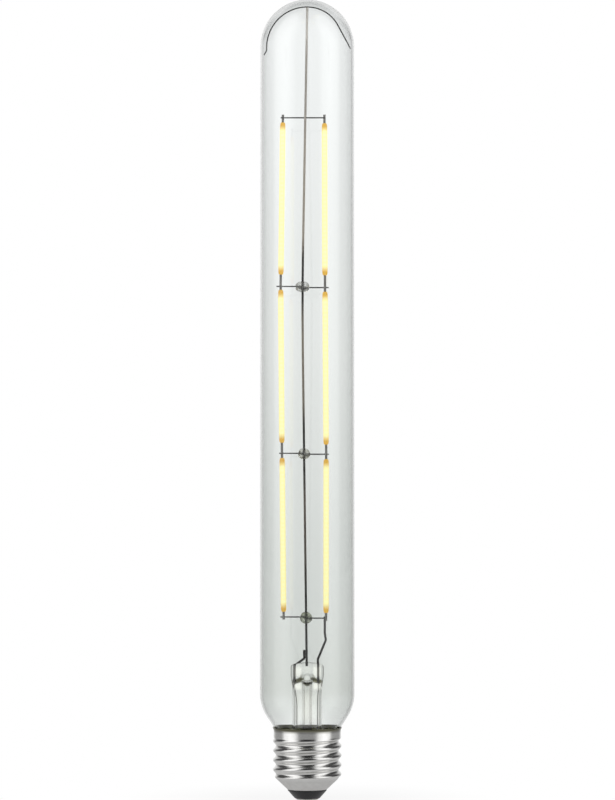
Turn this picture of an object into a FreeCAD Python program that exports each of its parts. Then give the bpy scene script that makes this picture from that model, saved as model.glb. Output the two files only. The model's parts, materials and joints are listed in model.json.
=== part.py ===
"""Tubular filament lamp with an E27 screw cap.

A clear glass tube with a domed end holds two columns of three glowing filaments. They hang on four
cross wires along one support rod, which stands on a glass stem and is kept central in the dome by a
wire spring. The stem closes the neck of the tube, and the driver board sits below it in the cap.

Frame: millimetres, +Z up along the lamp's axis from the centre contact to the dome, +X to the
right and +Y away from the viewer. The origin is the tip of the centre contact.
"""
import FreeCAD, Part
import math
import os

# Glass tube
overall_length = 310.0
tube_diameter = 36.5
glass_wall = 1.0
shoulder_height = 40.9
shoulder_radius = 16.0
neck_taper = 33.0
neck_bend_radius = 3.0
seal_height = 20.0

# E27 screw cap
cap_height = 27.9
thread_major_diameter = 26.4
thread_minor_diameter = 24.2
thread_pitch = 25.4 / 7
thread_crest_height = 19.05
thread_root_radius = 1.3
thread_flank_angle = 46.0
thread_turns = 4.75
thread_top = 23.6
collar_diameter = 25.9
collar_shoulder = 0.3
rim_flare = 0.3
rim_flare_height = 0.8
shell_wall = 0.3
cone_top = 8.4
cone_bottom = 4.2
cone_end_diameter = 15.2

# Cap insulator and centre contact
insulator_tip_diameter = 10.0
insulator_tip_height = 0.8
insulator_tip_round = 0.5
insulator_top = 9.0
insulator_bore = 2.8
contact_diameter = 8.8
contact_flat_diameter = 5.0
contact_rim = 0.25
rivet_diameter = 2.4
rivet_top = 2.6

# Cement between neck and cap
cement_bottom = 24.6
cement_top = 27.2
neck_clearance = 0.45

# Glass stem, exhaust tube and press
stem_diameter = 11.4
stem_wall = 1.0
stem_tube_top = 39.0
press_top = 52.3
press_width = 12.9
press_thickness = 4.2
press_edge_round = 1.3
press_waist_height = 46.5
hollow_top = 45.2
hollow_slot = 1.0
press_peak_radius = 1.4
exhaust_diameter = 3.7
exhaust_bore = 2.1
exhaust_top = 45.6
exhaust_tip = 17.0
blow_hole_diameter = 1.7

# Support rod
rod_diameter = 0.9
rod_foot_offset = -0.2
rod_foot_height = 51.4
rod_bend_offset = -1.97
rod_bend_below_wire = 4.2
rod_bend_radius = 1400.0

# Centring spring under the dome
spring_wire_diameter = 0.5
spring_gap = 1.15
spring_right_bend = 13.5
spring_right_angle = 62.0
spring_hook_drop = 3.3
spring_hook_start = 1.4

# Cross wires, evenly spaced from the top one down: sag below that spacing, left end, right end and
# step down to the right half
cross_wire_diameter = 0.5
top_wire_drop = 46.0
lower_wire_rise = 17.9
bead_insulation = 0.5
cross_wires = {
    "top": {"sag": 0.0, "left": -10.35, "right": 7.1, "step": 0.0},
    "upper": {"sag": 1.2, "left": -12.0, "right": 8.35, "step": 0.45},
    "middle": {"sag": 1.4, "left": -10.9, "right": 8.4, "step": 0.35},
    "lower": {"sag": 0.0, "left": -10.4, "right": 7.6, "step": 0.45},
}
step_half_length = 0.9
step_bend_radius = 0.6

# Glass beads that hold the three lower cross wires: width across and height along the rod
beads = {
    "upper": {"width": 5.6, "height": 4.4},
    "middle": {"width": 4.9, "height": 4.4},
    "lower": {"width": 4.9, "height": 4.8},
}

# Filaments and the metal tabs at their ends
filament_room = 5.2
filament_diameter = 2.1
filament_end_diameter = 1.6
filament_taper = 0.9
tab_width = 0.95
tab_thickness = 0.3
tab_grip = 1.2
filament_columns = {
    "left": {"x": {"top": -9.5, "upper": -10.35, "middle": -9.8, "lower": -9.1}, "drops": (1.8, 1.3, 1.8)},
    "right": {"x": {"top": 6.7, "upper": 6.9, "middle": 7.35, "lower": 7.25}, "drops": (2.1, 1.6, 1.9)},
}
tab_overruns = {"top": 1.3, "upper": 0.5, "middle": 0.5, "lower": 1.0}

# Lead wires
inner_lead_diameter = 0.9
outer_lead_diameter = 0.35
lead_joint_height = 45.0
left_lead_joint_offset = -4.75
right_lead_joint_offset = 4.1
lead_joint_run = 1.5
left_lead_weld_height = 57.6
left_lead_knee_height = 54.3
left_lead_entry_height = 51.7
right_lead_offset = 6.8
right_lead_over_wire = 0.6
right_lead_knee_height = 61.3
right_lead_knee_offset = 7.2
right_lead_entry_height = 54.0
lead_bend_radius = 0.9
outer_lead_offset = 4.0
outer_lead_run_top = 36.5
outer_lead_run_bottom = 28.0

# Driver in the cap
board_width = 14.0
board_thickness = 1.0
board_top = 19.0
board_offset = -2.9
capacitor_diameter = 6.3
capacitor_length = 8.0
capacitor_height = 12.8
capacitor_offset = 2.6
capacitor_round = 0.4
chip_width = 4.9
chip_height = 3.9
chip_thickness = 1.5
chip_level = 16.2
rectifier_width = 4.7
rectifier_height = 3.8
rectifier_thickness = 1.7
component_spacing = 3.1
fuse_length = 6.0
fuse_diameter = 2.2
fuse_waist_diameter = 1.8
fuse_level = 11.4
fuse_lead_diameter = 0.6
fuse_lead_reach = 4.8
hook_up_wire_diameter = 0.5
earth_wire_diameter = 0.35
neutral_level = 17.4
neutral_end = 22.6

# Clearances
weld_clearance = 0.01
fit_clearance = 0.02
thread_clearance = 0.05

tube_radius = tube_diameter / 2
inner_tube_radius = tube_radius - glass_wall
dome_height = overall_length - tube_radius
thread_major_radius = thread_major_diameter / 2
thread_minor_radius = thread_minor_diameter / 2
collar_radius = collar_diameter / 2
shell_inner_radius = thread_minor_radius - shell_wall
neck_radius = shell_inner_radius - neck_clearance
cone_slope = (thread_minor_radius - cone_end_diameter / 2) / (cone_top - cone_bottom)
rod_radius = rod_diameter / 2
cross_wire_radius = cross_wire_diameter / 2
wire_spacing = (overall_length - top_wire_drop - press_top - lower_wire_rise) / (len(cross_wires) - 1)
filament_length = wire_spacing - filament_room
board_front = board_offset - board_thickness / 2
board_back = board_offset + board_thickness / 2


def at(radius, height):
    """A point in the X-Z plane."""
    return FreeCAD.Vector(radius, 0, height)


def line(start, end):
    return Part.LineSegment(start, end).toShape()


def arc(centre, radius, start_angle, end_angle):
    """An arc in the X-Z plane, with angles in degrees from +X towards +Z."""
    points = []
    for angle in (start_angle, (start_angle + end_angle) / 2, end_angle):
        turn = math.radians(angle)
        points.append(centre + FreeCAD.Vector(radius * math.cos(turn), 0, radius * math.sin(turn)))
    return Part.Arc(*points).toShape()


def polyline(points):
    return [line(start, end) for start, end in zip(points, points[1:])]


def revolved(edges):
    """The solid swept by a closed outline in the X-Z plane as it turns about the lamp's axis."""
    face = Part.Face(Part.Wire(Part.__sortEdges__(edges)))
    return face.revolve(FreeCAD.Vector(0, 0, 0), FreeCAD.Vector(0, 0, 1), 360)


def cylinder(radius, length, base, direction=FreeCAD.Vector(0, 0, 1)):
    return Part.makeCylinder(radius, length, base, direction)


def block(size, corner):
    return Part.makeBox(size[0], size[1], size[2], FreeCAD.Vector(*corner))


def bent_path(points, radii):
    """Straight runs between points, joined at each inner point by a tangent arc of its own radius."""
    edges = []
    start = points[0]
    for index in range(1, len(points) - 1):
        corner = points[index]
        incoming = (corner - points[index - 1]).normalize()
        outgoing = (points[index + 1] - corner).normalize()
        turn = incoming.getAngle(outgoing)
        reach = radii[index - 1] * math.tan(turn / 2)
        arc_start = corner - incoming * reach
        arc_end = corner + outgoing * reach
        inward = (outgoing - incoming).normalize()
        sagitta = radii[index - 1] * (1 / math.cos(turn / 2) - 1)
        if (arc_start - start).Length > weld_clearance / 10:
            edges.append(line(start, arc_start))
        edges.append(Part.Arc(arc_start, corner + inward * sagitta, arc_end).toShape())
        start = arc_end
    edges.append(line(start, points[-1]))
    return Part.Wire(edges)


def wire_along(path, diameter):
    """A round wire along a path."""
    first = path.Edges[0]
    start = first.valueAt(first.FirstParameter)
    direction = first.tangentAt(first.FirstParameter)
    section = Part.Wire(Part.makeCircle(diameter / 2, start, direction))
    return path.makePipeShell([section], True, False)


def bent_wire(points, diameter, radii):
    return wire_along(bent_path(points, radii), diameter)


def straight_wire(start, end, diameter):
    return cylinder(diameter / 2, (end - start).Length, start, end - start)


def cut_all(solid, tools):
    for tool in tools:
        solid = solid.cut(tool)
    return solid


def envelope_outline(wall):
    """One skin of the glass tube, inset by a wall: dome, straight tube, shoulder, taper and neck."""
    taper = math.radians(neck_taper)
    dome_centre = at(0, dome_height)
    shoulder_centre = at(tube_radius - shoulder_radius, shoulder_height)
    shoulder = shoulder_radius - wall
    bend = neck_bend_radius + wall
    shoulder_end = shoulder_centre + at(shoulder * math.cos(taper), -shoulder * math.sin(taper))
    bend_start_radius = neck_radius + neck_bend_radius - bend * math.cos(taper)
    run = (shoulder_end.x - bend_start_radius) / math.sin(taper)
    bend_start = shoulder_end + at(-run * math.sin(taper), -run * math.cos(taper))
    bend_centre = bend_start + at(bend * math.cos(taper), -bend * math.sin(taper))
    neck_top = bend_centre + at(-bend, 0)
    tube_side = tube_radius - wall
    return [
        arc(dome_centre, tube_side, 90, 0),
        line(at(tube_side, dome_height), at(tube_side, shoulder_height)),
        arc(shoulder_centre, shoulder, 0, -neck_taper),
        line(shoulder_end, bend_start),
        arc(bend_centre, bend, 180 - neck_taper, 180),
        line(neck_top, at(neck_top.x, seal_height)),
    ]


def glass_envelope():
    """The blown tube. Its neck ends at the seal, where the stem's flare is fused on."""
    outer = envelope_outline(0)
    inner = envelope_outline(glass_wall)
    seal = line(at(neck_radius, seal_height), at(neck_radius - glass_wall, seal_height))
    crown = line(at(0, overall_length), at(0, overall_length - glass_wall))
    return revolved(outer + [seal] + inner + [crown])


def envelope_filled():
    """The glass tube as a solid block, to trim what lies against its outside."""
    axis = line(at(0, seal_height), at(0, overall_length))
    base = line(at(0, seal_height), at(neck_radius, seal_height))
    return revolved(envelope_outline(0) + [base, axis])


def stem_sides(wall):
    """The flared skirt, from the seal up to the top of the stem's straight tube, inset by a wall."""
    stem_side = stem_diameter / 2 - wall
    flare_edge = neck_radius - glass_wall
    flare_bend = flare_edge - stem_diameter / 2
    flare_centre = at(flare_edge, seal_height + flare_bend)
    return [
        line(at(neck_radius, seal_height - wall), at(flare_edge, seal_height - wall)),
        arc(flare_centre, flare_bend + wall, 270, 180),
        line(at(stem_side, flare_centre.z), at(stem_side, stem_tube_top)),
    ]


def pinched(half_width, sides, side_height, depths):
    """A round bar about the lamp's axis, flattened from front and back to a half depth at each height."""
    outline = [at(0, depths[0][1])] + [at(*point) for point in sides]
    outline += [at(half_width, side_height), at(0, side_height), at(0, depths[0][1])]
    bar = revolved(polyline(outline))
    front = [FreeCAD.Vector(0, -depth, height) for depth, height in depths]
    back = [FreeCAD.Vector(0, depth, height) for depth, height in reversed(depths)]
    outline = Part.makePolygon(front + back + front[:1])
    slab = Part.Face(outline).extrude(FreeCAD.Vector(4 * half_width, 0, 0))
    slab.translate(FreeCAD.Vector(-2 * half_width, 0, 0))
    return bar.common(slab)


def press_body():
    """The pinched top of the stem: round below, flat above, with a small peak of glass at the rod."""
    half_width = press_width / 2
    half_depth = press_thickness / 2
    stem_radius = stem_diameter / 2
    shoulder = press_top - press_edge_round
    waist = (stem_tube_top + press_waist_height) / 2
    sides = [(stem_radius, stem_tube_top), (half_width, waist), (half_width, shoulder)]
    depths = [
        (stem_radius, stem_tube_top),
        ((stem_radius + half_depth) / 2, waist),
        (half_depth, press_waist_height),
        (half_depth, shoulder + press_edge_round / 3),
        (half_depth - press_edge_round * 2 / 3, press_top),
    ]
    body = pinched(half_width - press_edge_round, sides, press_top, depths)
    peak = Part.makeSphere(press_peak_radius, at(rod_foot_offset, press_top - press_peak_radius / 2))
    return body.fuse(peak)


def press_hollow():
    """The stem's bore, which closes to a slot where the glass was pinched."""
    bore = stem_diameter / 2 - stem_wall
    sides = [(bore, stem_tube_top)]
    depths = [
        (bore, stem_tube_top),
        ((bore + hollow_slot) / 2, (stem_tube_top + hollow_top) / 2),
        (hollow_slot / 2, hollow_top),
    ]
    return pinched(bore, sides, hollow_top, depths)


def blow_hole():
    """The hole through which the bulb is pumped, from the exhaust bore out of the press's front."""
    height = exhaust_top - blow_hole_diameter
    toward_viewer = FreeCAD.Vector(0, -1, 0)
    return cylinder(blow_hole_diameter / 2, press_width / 2, at(0, height), toward_viewer)


def exhaust_tube():
    """The thin tube used to pump and fill the bulb, melted shut at its lower end."""
    radius = exhaust_diameter / 2
    bore = exhaust_bore / 2
    tip_centre = at(0, exhaust_tip + radius)
    outline = [
        arc(tip_centre, radius, -90, 0),
        line(at(radius, tip_centre.z), at(radius, exhaust_top)),
        line(at(radius, exhaust_top), at(bore, exhaust_top)),
        line(at(bore, exhaust_top), at(bore, tip_centre.z)),
        arc(tip_centre, bore, 0, -90),
        line(at(0, tip_centre.z - bore), at(0, exhaust_tip)),
    ]
    return revolved(outline).cut(blow_hole())


def stem_tube(held):
    """The flared stem and its press, with the pieces that are sealed into the glass cut out of it."""
    lip = line(at(neck_radius, seal_height), at(neck_radius, seal_height - stem_wall))
    top = line(at(stem_diameter / 2, stem_tube_top), at(stem_diameter / 2 - stem_wall, stem_tube_top))
    skirt = revolved(stem_sides(0) + stem_sides(stem_wall) + [lip, top])
    stem = skirt.fuse(press_body().cut(press_hollow()))
    bore = cylinder(exhaust_diameter / 2, exhaust_top - stem_tube_top, at(0, stem_tube_top))
    return cut_all(stem.removeSplitter(), [bore, blow_hole()] + held)


def rod_top():
    """The rod ends against the underside of the centring spring."""
    return spring_apex() - spring_wire_diameter / 2 - weld_clearance


def rod_bend_height():
    return cross_wire_height("upper", "left") - rod_bend_below_wire


def rod_x(height):
    """How far the bowed rod stands to the side at a height, along its two straight runs."""
    bend = rod_bend_height()
    if height > bend:
        return rod_bend_offset * (rod_top() - height) / (rod_top() - bend)
    share = (height - rod_foot_height) / (bend - rod_foot_height)
    return rod_foot_offset + (rod_bend_offset - rod_foot_offset) * share


def support_rod():
    points = [
        at(rod_foot_offset, rod_foot_height),
        at(rod_bend_offset, rod_bend_height()),
        at(0, rod_top()),
    ]
    return bent_wire(points, rod_diameter, [rod_bend_radius])


def spring_apex():
    return overall_length - glass_wall - spring_wire_diameter / 2 - spring_gap


def centring_spring():
    """One wire over the rod's top. Its arms follow the dome and end against the glass."""
    wire_radius = spring_wire_diameter / 2
    apex = spring_apex()
    left_side = inner_tube_radius - spring_gap - wire_radius
    reach = inner_tube_radius - wire_radius - weld_clearance * 5
    left_shoulder = apex - left_side
    hook_angle = math.atan2(reach - left_side, spring_hook_drop - spring_hook_start)
    hook_reach = reach + wire_radius * (1 - math.cos(hook_angle))
    turn = math.radians(spring_right_angle)
    corner = spring_right_bend * math.tan(turn / 2)
    right_reach = inner_tube_radius - wire_radius * math.sin(turn) - weld_clearance * 5
    right_drop = (right_reach - corner) * math.tan(turn)
    points = [
        at(-hook_reach, left_shoulder - spring_hook_drop),
        at(-left_side, left_shoulder - spring_hook_start),
        at(-left_side, apex),
        at(corner, apex),
        at(right_reach, apex - right_drop),
    ]
    bends = [wire_radius * 4, left_side - weld_clearance, spring_right_bend]
    return bent_wire(points, spring_wire_diameter, bends)


def cross_wire_depth(level):
    """The top wire is welded to the back of the rod. The others pass behind it, inside their beads."""
    gap = weld_clearance if level == "top" else bead_insulation
    return rod_radius + gap + cross_wire_radius


def cross_wire_height(level, side):
    wire = cross_wires[level]
    even = overall_length - top_wire_drop - list(cross_wires).index(level) * wire_spacing
    return even - wire["sag"] - (wire["step"] if side == "right" else 0)


def cross_wire(level):
    """A thin wire across the rod. Where it is stepped, the step is hidden in its bead."""
    wire = cross_wires[level]
    depth = cross_wire_depth(level)
    left = FreeCAD.Vector(wire["left"], depth, cross_wire_height(level, "left"))
    right = FreeCAD.Vector(wire["right"], depth, cross_wire_height(level, "right"))
    if wire["step"] == 0:
        return straight_wire(left, right, cross_wire_diameter)
    middle = rod_x(left.z)
    step_start = FreeCAD.Vector(middle - step_half_length, depth, left.z)
    step_end = FreeCAD.Vector(middle + step_half_length, depth, right.z)
    return bent_wire([left, step_start, step_end, right], cross_wire_diameter, [step_bend_radius] * 2)


def bead_height(level):
    """A bead sits midway between the two halves of its cross wire."""
    return (cross_wire_height(level, "left") + cross_wire_height(level, "right")) / 2


def bead(level, held):
    """A drop of glass melted round the rod and its cross wire, which it keeps apart."""
    radius = beads[level]["height"] / 2
    offset = beads[level]["width"] / 2 - radius
    outline = [arc(at(offset, 0), radius, -90, 90)]
    outline += polyline([at(offset, radius), at(0, radius), at(0, -radius), at(offset, -radius)])
    glass = revolved(outline)
    glass.translate(at(rod_x(bead_height(level)), bead_height(level)))
    return cut_all(glass, held)


def column_point(column, level, drop, behind):
    """A point of a filament's centre line, measured down from a cross wire.

    Tabs lie on the back or the front of the cross wire, so the line leans from one to the other.
    """
    side = cross_wire_radius + weld_clearance + tab_thickness / 2
    depth = cross_wire_depth(level) + (side if behind else -side)
    height = cross_wire_height(level, column) - drop
    return FreeCAD.Vector(filament_columns[column]["x"][level], depth, height)


def filament_ends(column, index):
    """The two points where a filament's centre line crosses its cross wires, top one first."""
    levels = list(cross_wires)
    return (
        column_point(column, levels[index], 0, True),
        column_point(column, levels[index + 1], 0, False),
    )


def filament_frame(column, index):
    """Places a filament that is modelled from its top end, at the origin, down along -Z."""
    top, bottom = filament_ends(column, index)
    down = (bottom - top).normalize()
    start = top + down * filament_columns[column]["drops"][index]
    turn = FreeCAD.Rotation(FreeCAD.Vector(0, 0, -1), down)
    return FreeCAD.Placement(start, turn), (bottom - top).Length


def filament(column, index):
    """The chip strip in its silicone coat: a slim rod with tapered ends that grip the two tabs."""
    radius = filament_diameter / 2
    end_radius = filament_end_diameter / 2
    coat = revolved(polyline([
        at(0, 0),
        at(end_radius, 0),
        at(radius, -filament_taper),
        at(radius, filament_taper - filament_length),
        at(end_radius, -filament_length),
        at(0, -filament_length),
        at(0, 0),
    ]))
    coat = cut_all(coat, tab_strips(column, index))
    coat.Placement = filament_frame(column, index)[0]
    return coat


def tab_strips(column, index):
    """The top and bottom tab in the filament's own frame, each from its grip to past its cross wire."""
    levels = list(cross_wires)
    span = filament_frame(column, index)[1]
    drop = filament_columns[column]["drops"][index]
    top_length = tab_grip + drop + tab_overruns[levels[index]]
    bottom_length = tab_grip + span - drop - filament_length + tab_overruns[levels[index + 1]]
    corner = (-tab_width / 2, -tab_thickness / 2)
    top = block((tab_width, tab_thickness, top_length), corner + (-tab_grip,))
    bottom = block((tab_width, tab_thickness, bottom_length),
                   corner + (tab_grip - filament_length - bottom_length,))
    return top, bottom


def tab(column, index, end):
    strip = tab_strips(column, index)[0 if end == "top" else 1]
    strip.Placement = filament_frame(column, index)[0]
    return strip


def inner_lead_left():
    """The stiff lead that carries current to the rod, welded to its left side above the press."""
    beside = rod_radius + inner_lead_diameter / 2 + weld_clearance
    weld_x = rod_x(left_lead_weld_height) - beside
    points = [
        at(weld_x, left_lead_weld_height),
        at(rod_x(left_lead_knee_height) - beside, left_lead_knee_height),
        at(left_lead_joint_offset, left_lead_entry_height),
        at(left_lead_joint_offset, lead_joint_height),
    ]
    return bent_wire(points, inner_lead_diameter, [lead_bend_radius] * 2)


def right_lead_depth():
    """The right lead is welded to the back of the lowest cross wire."""
    touch = cross_wire_radius + weld_clearance + inner_lead_diameter / 2
    return cross_wire_depth("lower") + touch


def inner_lead_right():
    """The stiff lead from the press up to the lowest cross wire."""
    depth = right_lead_depth()
    top = cross_wire_height("lower", "right") + right_lead_over_wire
    points = [
        FreeCAD.Vector(right_lead_offset, depth, top),
        FreeCAD.Vector(right_lead_offset, depth, right_lead_knee_height + 3 * lead_bend_radius),
        FreeCAD.Vector(right_lead_knee_offset, depth, right_lead_knee_height),
        at(right_lead_joint_offset, right_lead_entry_height),
        at(right_lead_joint_offset, lead_joint_height),
    ]
    return bent_wire(points, inner_lead_diameter, [lead_bend_radius] * 3)


def outer_lead(joint, run):
    """The thin lead from the press down the stem's bore to the top edge of the driver board."""
    points = [
        at(joint, lead_joint_height),
        at(joint, lead_joint_height - lead_joint_run),
        at(run, outer_lead_run_top),
        at(run, outer_lead_run_bottom),
        FreeCAD.Vector(run, board_offset, board_top + 4 * lead_bend_radius / 3),
        FreeCAD.Vector(run, board_offset, board_top),
    ]
    return bent_wire(points, outer_lead_diameter, [lead_bend_radius] * 4)


def thread_groove(inset):
    """The right-hand groove between the thread's crests, grown by a wall for the shell's inner skin."""
    flank = math.radians(thread_flank_angle)
    start = at(thread_minor_radius + thread_root_radius, thread_crest_height - 3.5 * thread_pitch)
    root_radius = thread_root_radius + inset
    flank_start = root_radius * math.sin(flank)
    mouth_radius = thread_major_radius + thread_clearance - inset
    run = mouth_radius - start.x + root_radius * math.cos(flank)
    half_mouth = flank_start + run / math.tan(flank)
    root = arc(start, root_radius, 180 - thread_flank_angle, 180 + thread_flank_angle)
    mouth = polyline([
        root.Vertexes[0].Point,
        at(mouth_radius, start.z + half_mouth),
        at(mouth_radius, start.z - half_mouth),
        root.Vertexes[1].Point,
    ])
    helix = Part.makeHelix(thread_pitch, thread_turns * thread_pitch, thread_minor_radius)
    helix.translate(at(0, start.z))
    sweep = Part.Wire(helix.Edges).makePipeShell([Part.Wire([root] + mouth)], True, True)
    sweep.rotate(at(0, 0), at(0, 1), 180)
    return sweep.common(cylinder(tube_radius, thread_top + inset, at(0, 0)))


def cone_radius(height, inset):
    """Radius of the shell's closing cone at a height, inset by a wall."""
    outer = cone_end_diameter / 2 + cone_slope * (height - cone_bottom)
    return outer - inset * math.hypot(1, cone_slope)


def cone_height(radius, inset):
    """Height at which the closing cone, inset by a wall, reaches a radius."""
    return cone_bottom + (radius + inset * math.hypot(1, cone_slope) - cone_end_diameter / 2) / cone_slope


def cap_bar(inset, overrun):
    """The cap as a solid bar without its thread: closing cone, straight side, collar and flared rim."""
    bottom = cone_bottom - overrun
    side = thread_major_radius - inset
    collar = collar_radius - inset
    flare = rim_flare * (1 + overrun / rim_flare_height)
    return revolved(polyline([
        at(0, bottom),
        at(cone_radius(bottom, inset), bottom),
        at(side, cone_height(side, inset)),
        at(side, thread_top),
        at(collar, thread_top + collar_shoulder),
        at(collar, cap_height - rim_flare_height),
        at(collar + flare, cap_height + overrun),
        at(0, cap_height + overrun),
        at(0, bottom),
    ]))


def screw_shell():
    """The cap's thin metal shell, with the thread rolled into it, so that it shows inside as well."""
    outside = cap_bar(0, 0).cut(thread_groove(0))
    inside = cap_bar(shell_wall, shell_wall).cut(thread_groove(shell_wall))
    return outside.cut(inside)


def cap_insulator():
    """The black glass that closes the cap, moulded against the inside of the metal cone."""
    side = shell_inner_radius - fit_clearance
    inset = shell_wall + fit_clearance
    step = cone_bottom - fit_clearance
    tip = insulator_tip_diameter / 2
    flank = math.atan2(step - insulator_tip_height, cone_end_diameter / 2 - tip)
    tip_start = at(tip - insulator_tip_round, insulator_tip_height)
    tip_end = at(tip, insulator_tip_height) + at(math.cos(flank), math.sin(flank)) * insulator_tip_round
    tip_middle = (tip_start + tip_end + at(tip, insulator_tip_height) * 2) * 0.25
    outline = [Part.Arc(tip_start, tip_middle, tip_end).toShape()]
    outline += polyline([
        tip_end,
        at(cone_end_diameter / 2, step),
        at(cone_radius(step, inset), step),
        at(side, cone_height(side, inset)),
        at(side, insulator_top),
        at(insulator_bore / 2, insulator_top),
        at(insulator_bore / 2, insulator_tip_height),
        tip_start,
    ])
    return revolved(outline)


def centre_contact():
    """The domed contact disc with the rivet that goes up into the insulator's bore."""
    rim = insulator_tip_height - fit_clearance
    dome_edge = rim - contact_rim
    half_flat = contact_flat_diameter / 2
    half_disc = contact_diameter / 2
    middle = at((half_flat + half_disc) / 2, dome_edge * 0.3)
    outline = [
        line(at(0, 0), at(half_flat, 0)),
        Part.Arc(at(half_flat, 0), middle, at(half_disc, dome_edge)).toShape(),
    ]
    outline += polyline([
        at(half_disc, dome_edge),
        at(half_disc, rim),
        at(rivet_diameter / 2, rim),
        at(rivet_diameter / 2, rivet_top),
        at(0, rivet_top),
        at(0, 0),
    ])
    return revolved(outline)


def capping_cement():
    """The ring of cement that bonds the neck into the cap's collar."""
    outer = collar_radius - shell_wall - fit_clearance
    height = cement_top - cement_bottom
    ring = cylinder(outer, height, at(0, cement_bottom))
    core = cylinder(neck_radius - glass_wall, height, at(0, cement_bottom))
    return ring.cut(core).cut(envelope_filled())


def driver_board():
    height = board_top - insulator_top
    return block((board_width, board_thickness, height), (-board_width / 2, board_front, insulator_top))


def chip(width, height, thickness, centre_x):
    """A moulded package flat on the front of the board."""
    corner = (centre_x - width / 2, board_front - thickness, chip_level - height / 2)
    body = block((width, thickness, height), corner)
    face = board_front - thickness
    front = [edge for edge in body.Edges if abs(edge.CenterOfMass.y - face) < fit_clearance]
    return body.makeChamfer(thickness / 8, front)


def smoothing_capacitor():
    """The electrolytic can, lying on the back of the board under the exhaust tube."""
    backwards = FreeCAD.Vector(0, 1, 0)
    base = FreeCAD.Vector(capacitor_offset, board_back, capacitor_height)
    can = cylinder(capacitor_diameter / 2, capacitor_length, base, backwards)
    end = board_back + capacitor_length
    far_rim = [edge for edge in can.Edges if abs(edge.BoundBox.YMin - end) < fit_clearance]
    return can.makeFillet(capacitor_round, far_rim)


def fuse_resistor():
    """A fusible resistor across the front of the board, with both leads bent back into it."""
    sideways = FreeCAD.Vector(1, 0, 0)
    depth = board_front - fuse_diameter / 2 - fit_clearance
    start = FreeCAD.Vector(-fuse_length / 2, depth, fuse_level)
    end_length = fuse_length / 4
    far_end = start + sideways * (fuse_length - end_length)
    body = cylinder(fuse_waist_diameter / 2, fuse_length, start, sideways)
    for end in (start, far_end):
        body = body.fuse(cylinder(fuse_diameter / 2, end_length, end, sideways))
    lead = [
        FreeCAD.Vector(-fuse_lead_reach, board_front, fuse_level),
        FreeCAD.Vector(-fuse_lead_reach, depth, fuse_level),
        FreeCAD.Vector(fuse_lead_reach, depth, fuse_level),
        FreeCAD.Vector(fuse_lead_reach, board_front, fuse_level),
    ]
    return body.fuse(bent_wire(lead, fuse_lead_diameter, [fuse_lead_diameter] * 2))


def live_wire():
    """From the contact's rivet, up through the insulator, to the board behind the fusible resistor."""
    clear_of_insulator = insulator_top + 2 * hook_up_wire_diameter
    points = [
        at(0, rivet_top),
        at(0, clear_of_insulator),
        FreeCAD.Vector(-fuse_lead_reach, board_back + 3 * hook_up_wire_diameter, fuse_level),
        FreeCAD.Vector(-fuse_lead_reach, board_back, fuse_level),
    ]
    return bent_wire(points, hook_up_wire_diameter, [hook_up_wire_diameter] * 2)


def neutral_wire():
    """From the board's left edge to the inside of the screw shell, beside the neck."""
    reach = shell_inner_radius - earth_wire_diameter / 2 - thread_clearance
    outside = -math.sqrt(reach ** 2 - board_offset ** 2)
    points = [
        FreeCAD.Vector(-board_width / 2, board_offset, neutral_level),
        FreeCAD.Vector(outside, board_offset, neutral_level),
        FreeCAD.Vector(outside, board_offset, neutral_end),
    ]
    return bent_wire(points, earth_wire_diameter, [2 * earth_wire_diameter])


def build():
    """Every piece of the lamp, by name."""
    pieces = {}
    pieces["support_rod"] = support_rod()
    pieces["centring_spring"] = centring_spring()
    for level in cross_wires:
        pieces["cross_wire_" + level] = cross_wire(level)
    for level in beads:
        pieces["bead_" + level] = bead(level, [pieces["support_rod"], pieces["cross_wire_" + level]])
    for column in filament_columns:
        for index, place in enumerate(("upper", "middle", "lower")):
            pieces[f"filament_{column}_{place}"] = filament(column, index)
            for end in ("top", "bottom"):
                pieces[f"tab_{column}_{place}_{end}"] = tab(column, index, end)
    pieces["inner_lead_left"] = inner_lead_left()
    pieces["inner_lead_right"] = inner_lead_right()
    pieces["outer_lead_left"] = outer_lead(left_lead_joint_offset, -outer_lead_offset)
    pieces["outer_lead_right"] = outer_lead(right_lead_joint_offset, outer_lead_offset)
    sealed_in = ["support_rod", "inner_lead_left", "inner_lead_right"]
    sealed_in += ["outer_lead_left", "outer_lead_right"]
    pieces["stem_tube"] = stem_tube([pieces[name] for name in sealed_in])
    pieces["exhaust_tube"] = exhaust_tube()
    pieces["glass_envelope"] = glass_envelope()
    pieces["screw_shell"] = screw_shell()
    pieces["cap_insulator"] = cap_insulator()
    pieces["centre_contact"] = centre_contact()
    pieces["capping_cement"] = capping_cement()
    pieces["driver_board"] = driver_board()
    rectifier = (rectifier_width, rectifier_height, rectifier_thickness)
    pieces["bridge_rectifier"] = chip(*rectifier, -component_spacing)
    pieces["driver_chip"] = chip(chip_width, chip_height, chip_thickness, component_spacing)
    pieces["smoothing_capacitor"] = smoothing_capacitor()
    pieces["fuse_resistor"] = fuse_resistor()
    pieces["live_wire"] = live_wire()
    pieces["neutral_wire"] = neutral_wire()
    return pieces


os.makedirs("parts", exist_ok=True)
for name, shape in build().items():
    print(name, len(shape.Solids), shape.isValid(), round(shape.Volume, 3))
    shape.exportStep(f"parts/{name}.step")
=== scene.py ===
# %% [markdown]
# # A tubular filament lamp
#
# The lamp is a long glass tube with a round dome and a standard screw cap. Inside it, six glowing
# filaments hang on thin wires from a dark rod. The CAD model fixes every size. This lesson gives the
# lamp its looks: clear glass that darkens at its edges, bright rolled metal, dark wires and light.
#
# The imported CAD model is loaded first.

import json
import math

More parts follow.
